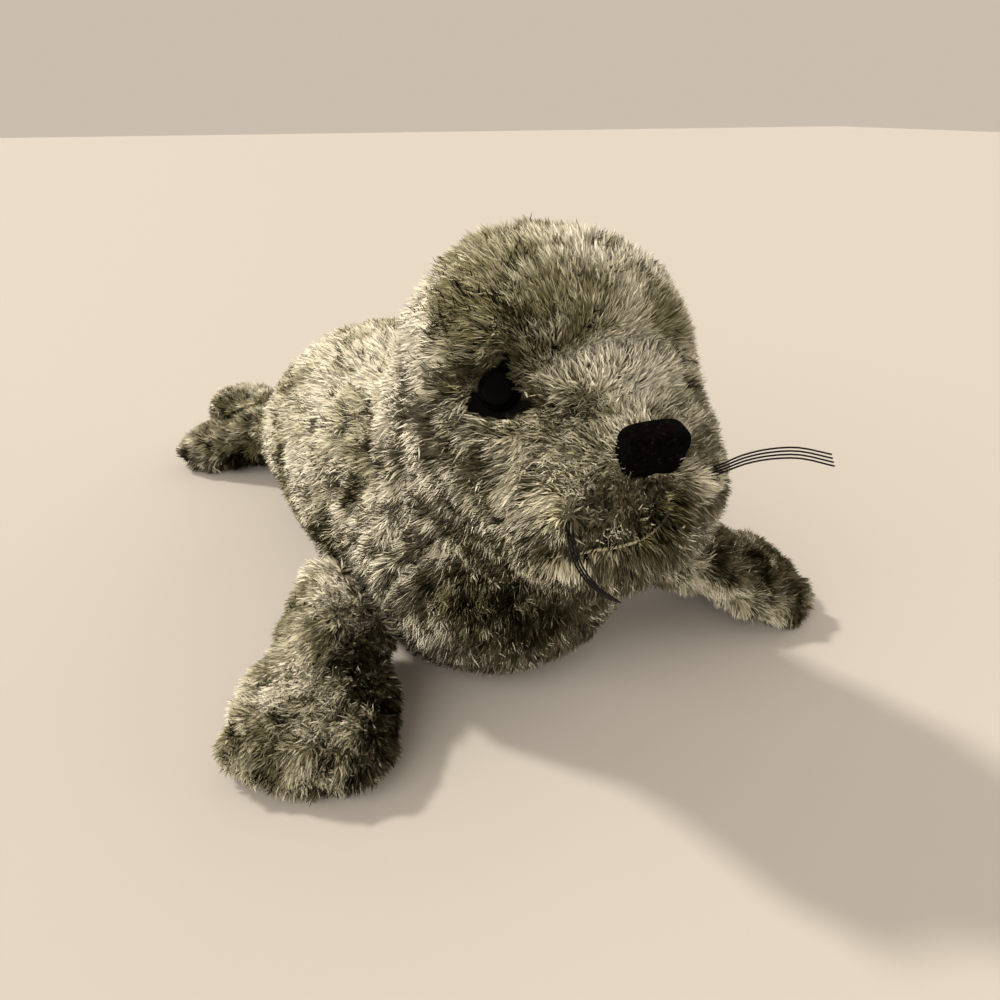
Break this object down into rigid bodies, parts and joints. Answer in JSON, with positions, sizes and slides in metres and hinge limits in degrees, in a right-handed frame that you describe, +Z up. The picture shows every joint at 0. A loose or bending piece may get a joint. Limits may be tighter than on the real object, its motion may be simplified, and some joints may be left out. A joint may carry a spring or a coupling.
{
  "type": "plush seal",
  "caption": "Stuffed short-pile plush seal lying on its belly with its head raised, with sewn-on flippers, sunken black eyes, a velvet nose pad and nylon whiskers.",
  "frame": {"origin": "middle of the seal's box, on the surface that it lies on", "axes": "+Z up; the face looks along -Y; the seal's left side is towards +X"},
  "size_m": [0.2794, 0.3948, 0.1822],
  "materials": {
    "fur": "matte",
    "dark_fur": "matte",
    "eye": "gloss",
    "washer": "matte",
    "velvet": "matte",
    "nylon": "gloss",
    "thread": "matte"
  },
  "bodies": {
    "root": {"body": "fur", "front_flipper_right": "dark_fur", "front_flipper_left": "dark_fur", "hind_flipper_right": "dark_fur", "hind_flipper_left": "dark_fur", "eye_right": "eye", "eye_left": "eye", "eye_washer_right": "washer", "eye_washer_left": "washer", "nose": "velvet", "mouth_thread": "thread", "whisker_left_1": "nylon", "whisker_left_2": "nylon", "whisker_left_3": "nylon", "whisker_left_4": "nylon", "whisker_right_1": "nylon", "whisker_right_2": "nylon", "whisker_right_3": "nylon"}
  },
  "joints": []
}
